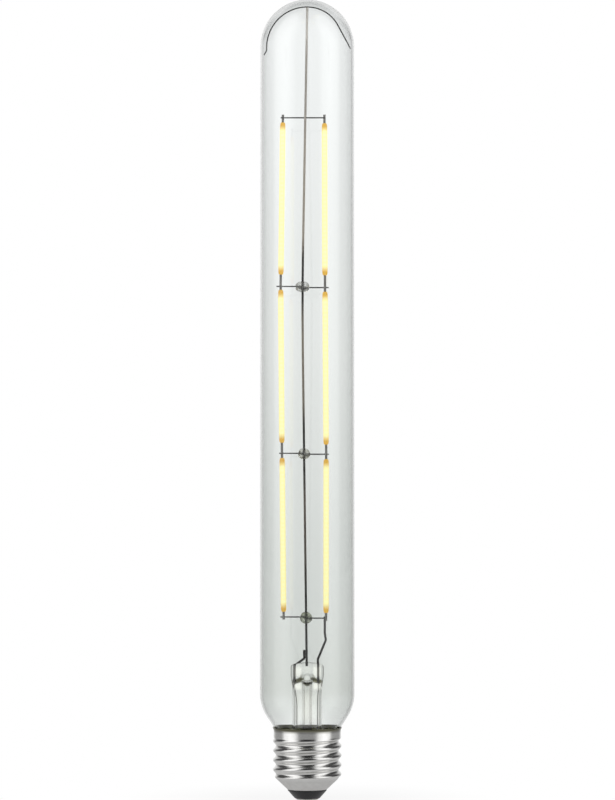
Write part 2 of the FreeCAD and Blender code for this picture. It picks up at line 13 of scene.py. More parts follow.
import bpy
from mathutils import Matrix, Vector


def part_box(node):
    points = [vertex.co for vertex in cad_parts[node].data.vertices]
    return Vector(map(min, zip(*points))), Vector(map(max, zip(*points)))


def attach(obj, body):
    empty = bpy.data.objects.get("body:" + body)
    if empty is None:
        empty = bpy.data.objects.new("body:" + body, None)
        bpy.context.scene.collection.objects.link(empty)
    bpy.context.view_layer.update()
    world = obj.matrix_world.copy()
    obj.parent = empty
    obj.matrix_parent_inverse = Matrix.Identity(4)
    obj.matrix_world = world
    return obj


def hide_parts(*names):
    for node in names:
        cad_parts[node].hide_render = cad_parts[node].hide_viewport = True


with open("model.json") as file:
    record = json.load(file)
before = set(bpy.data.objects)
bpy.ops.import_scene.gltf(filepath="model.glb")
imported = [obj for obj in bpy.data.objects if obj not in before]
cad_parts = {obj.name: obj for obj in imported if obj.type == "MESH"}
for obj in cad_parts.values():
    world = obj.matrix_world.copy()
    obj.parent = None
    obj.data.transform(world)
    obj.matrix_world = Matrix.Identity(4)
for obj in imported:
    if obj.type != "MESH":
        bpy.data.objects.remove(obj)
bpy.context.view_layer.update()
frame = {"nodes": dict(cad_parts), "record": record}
MM = 0.001

# %% [markdown]
# ## Turning on a lathe
#
# Glass tubes, cap metal and contact discs are all round about the lamp's axis. In Blender such a
# piece is drawn as half a section and spun. A plane is added and merged to one vertex, the vertex is
# extruded along the outline, and the Spin tool carries the outline once round the axis. This gives
# clean rings of four-sided faces, which bend light smoothly in glass.

# %% A lathe
def start_piece(name):
    bpy.ops.object.select_all(action="DESELECT")
    bpy.ops.mesh.primitive_plane_add(size=MM)
    piece = bpy.context.object
    piece.name = name
    bpy.ops.object.mode_set(mode="EDIT")
    bpy.ops.mesh.select_all(action="SELECT")
    bpy.ops.mesh.merge(type="CENTER")
    return piece


def draw(outline):
    """Moves the one vertex to the outline's first point, in mm, and extrudes it along the rest."""
    previous = Vector((0, 0, 0))
    for index, (radius, height) in enumerate(outline):
        point = Vector((radius, 0, height)) * MM
        if index == 0:
            bpy.ops.transform.translate(value=point - previous)
        else:
            bpy.ops.mesh.extrude_region_move(TRANSFORM_OT_translate={"value": point - previous})
        previous = point


def finish_piece(piece, sharp_angle=40):
    """Closes seams, points the faces outwards and smooths the piece, but for its sharp edges."""
    bpy.ops.mesh.select_all(action="SELECT")
    bpy.ops.mesh.remove_doubles(threshold=MM / 500)
    bpy.ops.mesh.normals_make_consistent(inside=False)
    bpy.ops.object.mode_set(mode="OBJECT")
    bpy.ops.object.shade_smooth_by_angle(angle=math.radians(sharp_angle))
    print(piece.name, len(piece.data.vertices), "vertices")
    return piece


def spin_round(steps):
    bpy.ops.mesh.select_all(action="SELECT")
    bpy.ops.mesh.spin(steps=steps, angle=2 * math.pi, center=(0, 0, 0), axis=(0, 0, 1))


def turned(name, outline, steps, sharp_angle=40):
    piece = start_piece(name)
    draw(outline)
    spin_round(steps)
    return finish_piece(piece, sharp_angle)


def bow(centre, radius, start, end, steps):
    """Points along an arc of the outline, with angles in degrees from outwards towards up."""
    points = []
    for step in range(steps + 1):
        angle = math.radians(start + (end - start) * step / steps)
        points.append((centre[0] + radius * math.cos(angle), centre[1] + radius * math.sin(angle)))
    return points


# %% [markdown]
# ## The glass tube
#
# The real tube is drawn glass, closed to a dome at one end and narrowed to a neck at the other. Its
# wall is 1 mm thick, and both skins are modelled, because the dark line just inside the edge of a
# glass tube is the edge of its bore. The shoulder is an arc, and the neck flares out to meet it.

# %% Glass tube
LENGTH = 310.0
TUBE_RADIUS = 18.25
GLASS_WALL = 1.0
SHOULDER_HEIGHT = 40.9
SHOULDER_RADIUS = 16.0
NECK_TAPER = 33.0
NECK_RADIUS = 11.35
NECK_BEND = 3.0
SEAL_HEIGHT = 20.0


def tube_skin(wall):
    """One skin of the tube from the dome's pole down to the neck's end."""
    taper = math.radians(NECK_TAPER)
    radius = TUBE_RADIUS - wall
    dome_height = LENGTH - TUBE_RADIUS
    shoulder = SHOULDER_RADIUS - wall
    bend = NECK_BEND + wall
    shoulder_centre = (TUBE_RADIUS - SHOULDER_RADIUS, SHOULDER_HEIGHT)
    end = (shoulder_centre[0] + shoulder * math.cos(taper), SHOULDER_HEIGHT - shoulder * math.sin(taper))
    bend_start = NECK_RADIUS + NECK_BEND - bend * math.cos(taper)
    run = (end[0] - bend_start) / math.sin(taper)
    bend_centre = (NECK_RADIUS + NECK_BEND, end[1] - run * math.cos(taper) - bend * math.sin(taper))
    skin = bow((0, dome_height), radius, 90, 0, 24)
    skin += [(radius, dome_height + (SHOULDER_HEIGHT - dome_height) * step / 12) for step in range(1, 12)]
    skin += bow(shoulder_centre, shoulder, 0, -NECK_TAPER, 10)
    skin += bow(bend_centre, bend, 180 - NECK_TAPER, 180, 6)
    skin.append((bend_centre[0] - bend, SEAL_HEIGHT))
    skin[0] = (0, skin[0][1])
    return skin


glass_tube = turned("glass_tube", tube_skin(0) + tube_skin(GLASS_WALL)[::-1], steps=128)
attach(glass_tube, "root")
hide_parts("glass_envelope")

# %% [markdown]
# ## The rolled screw cap
#
# The cap starts as a drawn cup of thin metal, and a pair of rollers presses the thread into it. The
# same two steps are followed here. A plain skin is turned first, with many rings. Each vertex is then
# moved in or out by a wave for the thread, with crest and root alike, as rollers leave it. The thread
# fades out under the collar and above the closing cone. Solidify gives the skin its wall.

# %% Screw cap
CAP_HEIGHT = 27.9
CONE_BOTTOM = 4.2
CONE_TOP = 8.4
CONE_END_RADIUS = 7.6
THREAD_CREST = 13.2
THREAD_ROOT = 12.1
THREAD_PITCH = 25.4 / 7
THREAD_TOP = 23.7
THREAD_BOTTOM = 8.7
LEFT_CREST = 19.05
RUN_OUT = 1.2
COLLAR_RADIUS = 12.95
COLLAR_BLEND = 0.45
RIM_RADIUS = 13.5
RIM_FLARE_START, RIM_FLARE_END = CAP_HEIGHT - 1.1, CAP_HEIGHT + 0.4
CONE_BLEND = 0.35
CAP_WALL = 0.3
RING_COUNT = 126


def fade(value, low, high):
    share = min(max((value - low) / (high - low), 0), 1)
    return share * share * (3 - 2 * share)


def thread_rise(angle, height):
    """How far the thread stands out from its root at a place on the cap."""
    turns = (height - LEFT_CREST) / THREAD_PITCH - (angle - math.pi) / (2 * math.pi)
    return (THREAD_CREST - THREAD_ROOT) * (1 + math.cos(2 * math.pi * turns)) / 2


def rolled_radius(angle, height):
    """The thread below, the collar and its flared rim above, and the smaller of that and the cone."""
    rim = COLLAR_RADIUS + (RIM_RADIUS - COLLAR_RADIUS) * fade(height, RIM_FLARE_START, RIM_FLARE_END)
    depth_share = fade(height, THREAD_BOTTOM - RUN_OUT, THREAD_BOTTOM + RUN_OUT)
    thread = THREAD_ROOT + thread_rise(angle, height) * depth_share
    collar = fade(height, THREAD_TOP - COLLAR_BLEND, THREAD_TOP + COLLAR_BLEND)
    wall = rim * collar + thread * (1 - collar)
    slope = (THREAD_ROOT - CONE_END_RADIUS) / (CONE_TOP - CONE_BOTTOM)
    cone = CONE_END_RADIUS + slope * (height - CONE_BOTTOM)
    return (wall + cone - math.hypot(wall - cone, CONE_BLEND)) / 2


rings = [CONE_BOTTOM + (CAP_HEIGHT - CONE_BOTTOM) * ring / RING_COUNT for ring in range(RING_COUNT + 1)]
screw_cap = start_piece("screw_cap")
draw([(THREAD_ROOT, height) for height in rings])
spin_round(120)
finish_piece(screw_cap)
for vertex in screw_cap.data.vertices:
    angle = math.atan2(vertex.co.y, vertex.co.x) % (2 * math.pi)
    radius = rolled_radius(angle, vertex.co.z / MM) * MM
    vertex.co.x, vertex.co.y = radius * math.cos(angle), radius * math.sin(angle)
bpy.ops.object.modifier_add(type="SOLIDIFY")
screw_cap.modifiers[0].thickness = CAP_WALL * MM
screw_cap.modifiers[0].offset = -1
bpy.ops.object.modifier_apply(modifier=screw_cap.modifiers[0].name)
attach(screw_cap, "root")
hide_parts("screw_shell")
print("screw cap box in mm:", [round(v / MM, 2) for v in screw_cap.dimensions])

# %% [markdown]
# ## Insulator, contact and cement
#
# Black glass closes the foot of the cap. It is moulded against the metal cone, and below the cone it
# narrows to a tip that holds the contact, a tinned brass disc. At the other end, a ring of dark
# cement holds the neck in the collar and follows the neck's outside. All three are turned.

# %% Insulator, contact and cement
insulator_outline = [(1.4, 9.0), (11.78, 9.0), (11.78, 8.54), (7.12, 4.18), (7.36, 4.17)]
insulator_outline += bow((7.3, 3.92), 0.22, 70, -45, 5)
insulator_outline += bow((4.62, 1.3), 0.5, -45, -90, 5)
insulator_outline += [(1.4, 0.8), (1.4, 9.0)]
insulator = turned("insulator", insulator_outline, steps=96, sharp_angle=50)
contact_outline = [(0, 0.0), (2.5, 0.0), (3.3, 0.1), (3.9, 0.27), (4.3, 0.45), (4.4, 0.6), (4.36, 0.78)]
contact_outline += [(1.2, 0.78), (1.2, 2.6), (0, 2.6)]
contact = turned("contact", contact_outline, steps=64, sharp_angle=50)
CEMENT_BOTTOM, CEMENT_TOP, CEMENT_RADIUS, NECK_GAP = 24.6, 27.8, 12.62, 0.02
neck_side = [(radius + NECK_GAP, z) for radius, z in tube_skin(0) if CEMENT_BOTTOM < z < CEMENT_TOP]
cement_outline = [(CEMENT_RADIUS, CEMENT_BOTTOM), (CEMENT_RADIUS, CAP_HEIGHT - 0.8)]
cement_outline += [(12.88, CEMENT_TOP), (12.82, CEMENT_TOP)] + neck_side
cement_outline += [(NECK_RADIUS + NECK_GAP, CEMENT_BOTTOM), (CEMENT_RADIUS, CEMENT_BOTTOM)]
cement = turned("cement", cement_outline, steps=96)
for piece, node in ((insulator, "cap_insulator"), (contact, "centre_contact"), (cement, "capping_cement")):
    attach(piece, "root")
    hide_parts(node)

# %% [markdown]
# ## The stem
#
# The glass stem starts as a flared tube. Its upper end is heated and pinched flat round the leads,
# which leaves a press with round side lobes. The same is done here: the tube is turned with many
# rings, and every vertex above the pinch is then moved by a formula, which flattens the outside and
# closes the bore to a slot. A small peak stands round the rod's foot, and the blow hole leaves a dent.

# %% Stem and exhaust tube
STEM_RADIUS, BORE_RADIUS = 5.7, 4.7
PINCH_START, PINCH_END, HOLLOW_TOP, PRESS_TOP = 39.0, 46.5, 45.2, 52.3
PRESS_HALF_WIDTH, PRESS_HALF_DEPTH, SLOT_HALF_DEPTH = 6.45, 2.1, 1.2
PRESS_ROUNDING, HOLLOW_ROUNDING = 1.6, 1.2
LOBE_START_LAG, LOBE_END_LAG = 3.5, 2.0
DEPTH_SQUARENESS, WIDTH_SQUARENESS = 0.35, 0.15
FINE_RINGS, FINE_RINGS_BOTTOM = 34, 38.0
PEAK_HEIGHT, PEAK_WIDTH, PEAK_OFFSET = 0.8, 1.3, 0.2
BLOW_HOLE_HEIGHT, BLOW_HOLE_RADIUS, DENT_DEPTH = 46.7, 1.95, 0.9
EXHAUST_RADIUS, EXHAUST_BORE, EXHAUST_BOTTOM, EXHAUST_TOP = 1.85, 1.05, 18.85, 45.15


def stem_skin(radius, lip_height, top, rounding):
    """From the top of the press, or of its hollow, down to the lip that is sealed to the neck."""
    edge = NECK_RADIUS - GLASS_WALL
    bend = edge - radius
    centre_height = lip_height + bend
    start = top - rounding
    skin = [(0, top)] + bow((radius - rounding, start), rounding, 90, 0, 7)
    fine_steps = range(1, FINE_RINGS + 1)
    skin += [(radius, start - (start - FINE_RINGS_BOTTOM) * step / FINE_RINGS) for step in fine_steps]
    skin += bow((edge, centre_height), bend, 180, 270, 8)
    return skin + [(NECK_RADIUS, lip_height)]


def pinch(vertex, half_width, half_depth, turned_radius, end):
    """Moves a vertex of the turned tube to where the pinching jaws leave it."""
    height = vertex.co.z / MM
    share = fade(height, PINCH_START, end)
    spread = fade(height, PINCH_START + LOBE_START_LAG, end + LOBE_END_LAG)
    across = vertex.co.x / MM / turned_radius
    deep = vertex.co.y / MM / turned_radius
    width = turned_radius + (half_width - turned_radius) * spread
    depth = turned_radius + (half_depth - turned_radius) * share
    vertex.co.x = math.copysign(abs(across) ** (1 - WIDTH_SQUARENESS * spread), across) * width * MM
    vertex.co.y = math.copysign(abs(deep) ** (1 - DEPTH_SQUARENESS * share), deep) * depth * MM


outer_skin = stem_skin(STEM_RADIUS, SEAL_HEIGHT, PRESS_TOP, PRESS_ROUNDING)
inner_skin = stem_skin(BORE_RADIUS, SEAL_HEIGHT - GLASS_WALL, HOLLOW_TOP, HOLLOW_ROUNDING)
stem = turned("stem", outer_skin + inner_skin[::-1], steps=144)
for vertex in stem.data.vertices:
    height = vertex.co.z / MM
    reach = math.hypot(vertex.co.x, vertex.co.y) / MM
    if height < PINCH_START:
        continue
    if height <= HOLLOW_TOP + 0.001 and reach < BORE_RADIUS + 0.01:
        pinch(vertex, BORE_RADIUS + 0.1, SLOT_HALF_DEPTH, BORE_RADIUS, HOLLOW_TOP)
        continue
    pinch(vertex, PRESS_HALF_WIDTH, PRESS_HALF_DEPTH, STEM_RADIUS, PINCH_END)
    sideways = vertex.co.x / MM + PEAK_OFFSET
    rising = fade(height, PRESS_TOP - PRESS_ROUNDING, PRESS_TOP)
    vertex.co.z += PEAK_HEIGHT * math.exp(-(sideways / PEAK_WIDTH) ** 2) * rising * MM
    from_hole = math.hypot(vertex.co.x / MM, height - BLOW_HOLE_HEIGHT) / BLOW_HOLE_RADIUS
    if vertex.co.y < 0 and from_hole < 1:
        vertex.co.y += DENT_DEPTH * BLOW_HOLE_RADIUS * math.sqrt(1 - from_hole ** 2) * MM
levels = [EXHAUST_BOTTOM + (EXHAUST_TOP - EXHAUST_BOTTOM) * step / 10 for step in range(1, 11)]
exhaust_outline = bow((0, EXHAUST_BOTTOM), EXHAUST_RADIUS, -90, 0, 8)
exhaust_outline += [(EXHAUST_RADIUS, level) for level in levels]
exhaust_outline += [(EXHAUST_BORE, level) for level in reversed(levels)]
exhaust_outline += bow((0, EXHAUST_BOTTOM), EXHAUST_BORE, 0, -90, 6)
exhaust_outline[0] = (0, EXHAUST_BOTTOM - EXHAUST_RADIUS)
exhaust_outline[-1] = (0, EXHAUST_BOTTOM - EXHAUST_BORE)
exhaust = turned("exhaust", exhaust_outline, steps=48)
for piece, node in ((stem, "stem_tube"), (exhaust, "exhaust_tube")):
    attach(piece, "root")
    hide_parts(node)
print("press in mm:", [round(v / MM, 2) for v in stem.dimensions])

# %% [markdown]
# ## The beads
#
# Each bead is a drop of glass, melted onto the rod and turned in the flame, so it is nearly round but
# never quite even. A sphere is stretched to the width and height of its CAD solid. The top bead is
# blunter where the rod leaves it, and a few slow waves take away the machined look of all three.

# %% Beads
BEAD_EVEN, SLOW_WAVE, QUICK_WAVE = 0.965, 0.02, 0.015
WAVE_SHIFT = 900


def melted_bead(name, node, squareness):
    """A sphere stretched to the box of a CAD solid, which its highest waves just reach."""
    low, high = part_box(node)
    centre = (Vector(low) + Vector(high)) / 2
    half = (Vector(high) - Vector(low)) / 2
    bpy.ops.object.select_all(action="DESELECT")
    bpy.ops.mesh.primitive_uv_sphere_add(segments=64, ring_count=40, radius=1)
    bead = bpy.context.object
    bead.name = name
    for vertex in bead.data.vertices:
        x, y, z = vertex.co
        slow = math.sin(3 * x + 4 * z + centre.z * WAVE_SHIFT)
        wave = BEAD_EVEN + SLOW_WAVE * slow + QUICK_WAVE * math.sin(5 * y - 3 * z)
        rise = math.copysign(abs(z) ** squareness, z)
        vertex.co.x = centre.x + x * half.x * wave
        vertex.co.y = centre.y + y * half.y * wave
        vertex.co.z = centre.z + rise * half.z * wave
    bpy.ops.object.shade_smooth()
    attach(bead, "root")
    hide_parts(node)
    print(name, "size in mm:", [round(v / MM, 2) for v in bead.dimensions])
    return bead


beads = [
    melted_bead("bead_top", "bead_upper", 0.8),
    melted_bead("bead_centre", "bead_middle", 1.0),
    melted_bead("bead_bottom", "bead_lower", 1.0),
]

# %% [markdown]
# ## The filaments
#
# Each filament is a strip of tiny lamps under a coat of yellow silicone. Silicone flows before it
# sets, so the coat is round and thins towards the metal tab at each end. One coat is turned upright
# at the origin. It is then copied six times, and each copy is laid on the line of its CAD solid.

# %% Filaments
FILAMENT_LENGTH = 59.4
COAT_RADIUS = 1.05
COAT_END = 3.6
END_SLICE = 0.3


def end_points(node):
    """The middle of a CAD filament's top and bottom face, in metres."""
    corners = [vertex.co.copy() for vertex in frame["nodes"][node].data.vertices]
    ends = []
    for sign in (1, -1):
        reach = max(sign * corner.z for corner in corners)
        near = [corner for corner in corners if sign * corner.z > reach - END_SLICE * MM]
        ends.append(sum(near, Vector()) / len(near))
    return ends


upper_end = [(0, 0), (0.6, -0.02), (0.78, -0.12), (0.9, -0.35), (0.99, -0.75), (1.04, -1.3)]
upper_end.append((COAT_RADIUS, -COAT_END))
middle_length = FILAMENT_LENGTH - 2 * COAT_END
middle = [(COAT_RADIUS, -COAT_END - middle_length * step / 24) for step in range(1, 24)]
lower_end = [(radius, -FILAMENT_LENGTH - height) for radius, height in reversed(upper_end)]
first_coat = turned("filament_coat", upper_end + middle + lower_end, steps=24, sharp_angle=80)
filaments = []
for column in ("left", "right"):
    for place in ("upper", "middle", "lower"):
        top, bottom = end_points(f"filament_{column}_{place}")
        coat = first_coat.copy()
        coat.data = first_coat.data.copy()
        coat.name = f"coat_{column}_{place}"
        bpy.context.collection.objects.link(coat)
        coat.rotation_mode = "QUATERNION"
        coat.rotation_quaternion = (bottom - top).to_track_quat("-Z", "Y")
        coat.location = top
        bpy.ops.object.select_all(action="DESELECT")
        coat.select_set(True)
        bpy.context.view_layer.objects.active = coat
        bpy.ops.object.transform_apply(location=True, rotation=True, scale=True)
        filaments.append(coat)
        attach(coat, "root")
        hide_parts(f"filament_{column}_{place}")
bpy.data.objects.remove(first_coat)
print("filaments:", len(filaments))

# %% [markdown]
# ## Writing a finish
#
# A finish is a small network of nodes. Writing one is easier when the network reads like arithmetic,
# so a wrapped socket answers to plus, minus and times by adding a Math node. Every other node comes
# from one method, which takes the node's kind, its settings and its inputs.

# %% Shader maths
class Wire:
    """A node's output, which Python's arithmetic can work on."""

    def __init__(self, finish, socket):
        self.finish = finish
        self.socket = socket

    def maths(self, operation, first, second):
        return self.finish.maths(operation, first, second)

    def __add__(self, other):
        return self.maths("ADD", self, other)

    def __sub__(self, other):
        return self.maths("SUBTRACT", self, other)

    def __rsub__(self, other):
        return self.maths("SUBTRACT", other, self)

    def __mul__(self, other):
        return self.maths("MULTIPLY", self, other)


def set_stops(ramp, stops):
    while len(ramp.elements) < len(stops):
        ramp.elements.new(0.5)
    for element, (position, colour) in zip(ramp.elements, stops):
        element.position = position
        element.color = colour


class Finish:
    """A material, or the world, whose nodes are added one by one."""

    def __init__(self, name, owner=None):
        self.owner = owner or bpy.data.materials.new(name)
        self.owner.use_nodes = True
        self.tree = self.owner.node_tree
        self.tree.nodes.clear()

    def add(self, kind, settings, inputs, output=0):
        node = self.tree.nodes.new(kind)
        for key, value in settings.items():
            if key == "stops":
                set_stops(node.color_ramp, value)
            else:
                setattr(node, key, value)
        for key, value in inputs.items():
            if isinstance(value, Wire):
                self.tree.links.new(value.socket, node.inputs[key])
            else:
                node.inputs[key].default_value = value
        return Wire(self, node.outputs[output])

    def ramp(self, factor, stops):
        return self.add("ShaderNodeValToRGB", {"stops": stops}, {"Fac": factor})

    def place(self, axis):
        """How far along an axis a point of the piece lies, in metres."""
        split = self.add("ShaderNodeSeparateXYZ", {}, {0: self.object_place()})
        return Wire(self, split.socket.node.outputs[axis])

    def object_place(self):
        return self.add("ShaderNodeTexCoord", {}, {}, "Object")

    def noise(self, scale, detail, stretch=(1, 1, 1)):
        mapped = self.add("ShaderNodeMapping", {}, {"Vector": self.object_place(), "Scale": stretch})
        return self.add("ShaderNodeTexNoise", {}, {"Vector": mapped, "Scale": scale, "Detail": detail})

    def bump(self, height, strength, distance):
        return self.add("ShaderNodeBump", {}, {"Strength": strength, "Distance": distance, "Height": height})

    def between(self, value, low, high):
        """0 below the low value, 1 above the high one and smooth between them."""
        return self.add("ShaderNodeMapRange", {"interpolation_type": "SMOOTHSTEP"}, {
            "Value": value, "From Min": low, "From Max": high, "To Min": 0.0, "To Max": 1.0})

    def maths(self, operation, value, other=0.0):
        return self.add("ShaderNodeMath", {"operation": operation}, {0: value, 1: other})

    def band(self, value, centre, half_width):
        """1 at the centre and 0 from half a width away."""
        away = self.maths("ABSOLUTE", value - centre)
        return 1.0 - self.between(away, half_width * 0.3, half_width)

    def mixed(self, factor, first, second):
        return self.add("ShaderNodeMix", {"data_type": "RGBA"}, {0: factor, 6: first, 7: second}, 2)

    def surface(self, inputs):
        return self.output(self.add("ShaderNodeBsdfPrincipled", {}, inputs, "BSDF"))

    def output(self, shader, kind="ShaderNodeOutputMaterial"):
        node = self.tree.nodes.new(kind)
        self.tree.links.new(shader.socket, node.inputs["Surface"])
        return self.owner


def grey(value):
    return (value, value, value, 1)


# %% [markdown]
# ## Glass
#
# The tube is clear soda glass, faintly green. In the photo it looks light near the dome, greyer
# towards the cap and light again in the neck, and this shade is painted on it by height. The stem is
# clearer.
# Painted shade darkens it where the press meets the hollow and round the blow hole, and a painted
# glow in the press stands in for light from the filaments. Both are painted by their place on the
# stem. The beads were melted by hand round the rod: they are hazy and streaky, and darker and
# greener towards the cap.

# %% Glass finishes
GLASS_IOR = 1.47
# Colour of the painted shade in the press
PAINTED_SEAM_SHADE = (0.06, 0.055, 0.015, 1)
# Colour of the painted glow in the press
PAINTED_GLOW_COLOUR = (1.0, 0.97, 0.86, 1)


def height_share(finish):
    return finish.place("Z") * (1 / (LENGTH * MM))


def tube_finish():
    finish = Finish("clear_glass")
    return finish.surface({
        # Painted shade by height over the green tint: greyer towards the cap, lighter at the dome and neck
        "Base Color": finish.ramp(height_share(finish), [
            (0.092, (0.91, 0.925, 0.915, 1)), (0.115, (0.85, 0.87, 0.855, 1)),
            (0.137, (0.795, 0.815, 0.795, 1)), (0.25, (0.82, 0.84, 0.825, 1)),
            (0.55, (0.905, 0.92, 0.91, 1)), (0.95, (0.968, 0.98, 0.978, 1))]),
        "Roughness": 0.0,
        "IOR": GLASS_IOR,
        "Transmission Weight": 1.0,
    })


def stem_finish():
    """Clear, with painted shade and a painted glow in the press, worked out in mm from the blow hole."""
    finish = Finish("stem_glass")
    x, z = finish.place("X") * (1 / MM), finish.place("Z") * (1 / MM)
    across = finish.maths("ABSOLUTE", x)
    above_hole = z - BLOW_HOLE_HEIGHT
    from_hole = finish.maths("SQRT", x * x + above_hole * above_hole)
    inside = 1.0 - finish.between(across, 4.9, 5.3)
    beside = finish.between(across, 1.6, 2.8) * inside

    # Painted shade: dark bands where the press meets the hollow and round the blow hole
    wings = beside * finish.band(z + across * 0.35, 47.1, 1.2)
    below_hole = finish.band(from_hole, 2.2, 0.6) * (1.0 - finish.between(z, 44.9, 45.5))
    near_hole = finish.between(z, 45.0, 46.0) * (1.0 - finish.between(z, 47.6, 48.8))
    round_hole = finish.band(from_hole, 2.3, 0.9) * near_hole
    seam_shade = finish.maths("MINIMUM", wings + below_hole + round_hole * 0.5, 1.0)

    # Painted glow: light from the filaments, painted into the press by place
    above_wings = beside * finish.band(z, 49.3, 3.0) * 0.17
    below_wings = beside * finish.band(z, 43.6, 1.9) * 0.1
    under_rod = finish.band(x, 0.0, 2.6) * finish.band(z, 50.0, 2.0) * 0.06
    in_hole = (1.0 - finish.between(from_hole, 0.7, 1.8)) * 0.06
    in_bore = inside * finish.band(z, 36.0, 9.0) * 0.03
    painted_glow = above_wings + below_wings + under_rod + in_hole + in_bore
    return finish.surface({
        "Base Color": finish.mixed(seam_shade, (1.0, 1.0, 0.995, 1), PAINTED_SEAM_SHADE),
        "Roughness": 0.0,
        "IOR": GLASS_IOR,
        "Transmission Weight": 1.0,
        "Emission Color": finish.mixed(painted_glow, grey(0), PAINTED_GLOW_COLOUR),
        "Emission Strength": 1.0,
    })


def bead_finish():
    finish = Finish("bead_glass")
    streaks = finish.noise(900, 4.0, (1, 1, 0.35))
    height = height_share(finish)
    # Darker and greener towards the cap
    clear = finish.ramp(height, [
        (0.30, (0.74, 0.77, 0.66, 1)), (0.36, (1.0, 1.0, 0.97, 1)), (0.58, (1.0, 1.0, 1.0, 1))])
    streaky = finish.ramp(height, [
        (0.30, (0.40, 0.42, 0.30, 1)), (0.36, (0.62, 0.60, 0.45, 1)), (0.58, (0.70, 0.70, 0.66, 1))])
    return finish.surface({
        "Base Color": finish.mixed(finish.between(streaks, 0.38, 0.6), streaky, clear),
        "Roughness": 0.3,
        "IOR": 1.33,
        "Transmission Weight": 0.85,
        "Normal": finish.bump(streaks, 0.4, 0.0003),
    })


def black_glass_finish():
    finish = Finish("black_glass")
    ripple = finish.noise(350, 2.0)
    return finish.surface({
        "Base Color": finish.ramp(ripple, [(0.3, (0.008, 0.008, 0.009, 1)), (0.7, (0.02, 0.02, 0.022, 1))]),
        "Roughness": 0.38,
        "Coat Weight": 0.1,
        "Normal": finish.bump(ripple, 0.15, 0.0002),
    })


# %% [markdown]
# ## Metals
#
# The cap is brass under bright nickel. Its closing cone is a little dull, and painted shade darkens
# its collar just under the flared rim. The rod and the wires are iron with an oxide skin. The rod is
# nearly black at each bead and brownish grey between the beads. A fine grain stops each metal from
# looking like plastic.

# %% Metal finishes
def metal_finish(name, dark, light, roughness, grain=1500, metallic=1.0, bump=0.1):
    finish = Finish(name)
    mottle = finish.noise(grain, 3.0)
    return finish.surface({
        "Base Color": finish.ramp(mottle, [(0.3, dark + (1,)), (0.7, light + (1,))]),
        "Metallic": metallic,
        "Roughness": mottle * 0.1 + (roughness - 0.05),
        "Normal": finish.bump(mottle, bump, 0.0001),
    })


def nickel_finish():
    """Bright on the thread and collar, duller on the closing cone, painted shade under the rim."""
    finish = Finish("nickel_plate")
    mottle = finish.noise(500, 3.0)
    drawn = finish.noise(2500, 2.0, (0.3, 0.3, 1))
    height = finish.place("Z") * (1 / MM)
    dull = 1.0 - finish.between(height, CONE_TOP - 0.6, CONE_TOP + 0.8)
    clean = finish.ramp(mottle, [(0.3, (0.76, 0.755, 0.74, 1)), (0.7, (0.84, 0.835, 0.82, 1))])
    # Painted shade: a dark olive band on the collar under the flared rim
    shade_under_rim = finish.between(height, CAP_HEIGHT - 2.1, CAP_HEIGHT - 0.3)
    return finish.surface({
        "Base Color": finish.mixed(shade_under_rim, clean, (0.13, 0.125, 0.08, 1)),
        "Metallic": 1.0,
        "Roughness": mottle * 0.06 + dull * 0.28 + 0.17,
        "Normal": finish.bump(drawn, 0.08, 0.0001),
    })


def rod_finish():
    """Burnt by the flame at each bead, and lighter between the beads and towards the dome."""
    finish = Finish("rod_oxide")
    scale = finish.noise(900, 4.0, (1, 1, 0.25))
    height = height_share(finish) + scale * 0.02 - 0.01
    burnt = (0.012, 0.011, 0.009, 1)
    tint = finish.ramp(height, [
        (0.265, burnt), (0.30, (0.10, 0.08, 0.065, 1)), (0.37, (0.15, 0.12, 0.10, 1)), (0.405, burnt),
        (0.465, burnt), (0.495, (0.28, 0.24, 0.20, 1)), (0.59, (0.32, 0.28, 0.24, 1)), (0.62, burnt),
        (0.675, burnt), (0.70, (0.50, 0.44, 0.39, 1)), (0.93, (0.54, 0.49, 0.44, 1)),
        (0.965, (0.90, 0.85, 0.78, 1))])
    return finish.surface({
        "Base Color": tint,
        "Metallic": 0.1,
        "Roughness": scale * 0.2 + 0.4,
        "Normal": finish.bump(scale, 0.3, 0.0001),
    })


# %% [markdown]
# ## The light itself
#
# A lit filament is brighter than the studio, so the camera sees it as almost white. Its coat is
# yellow where it is thick, at the narrow sides of the strip, and amber where it thins out over the
# tabs. The glow is an emission colour that follows the height on each filament and the way round it.
# It is stored on each mesh as a colour attribute. The row of chips under the coat adds faint stripes.

# %% Filament glow
GLOW = (1.0, 1.0, 0.54)
GLOW_SIDE = (1.0, 0.87, 0.29)
GLOW_END = (0.63, 0.345, 0.0)
CHIP_SHADE = (1.0, 0.94, 0.78, 1)
CHIP_PITCH = 1.63


def blend_colour(first, second, share):
    return tuple(a + (b - a) * share for a, b in zip(first, second))


for coat in filaments:
    heights = [vertex.co.z / MM for vertex in coat.data.vertices]
    top, bottom = max(heights), min(heights)
    colours = coat.data.attributes.new("glow", "FLOAT_COLOR", "POINT")
    for vertex, height, colour in zip(coat.data.vertices, heights, colours.data):
        from_end = min(top - height, height - bottom)
        side = abs(vertex.normal.x)
        glow = blend_colour(GLOW, GLOW_SIDE, fade(side, 0.55, 1.0))
        glow = blend_colour(GLOW_END, glow, fade(from_end, 2.1, 3.3))
        colour.color = glow + (1,)


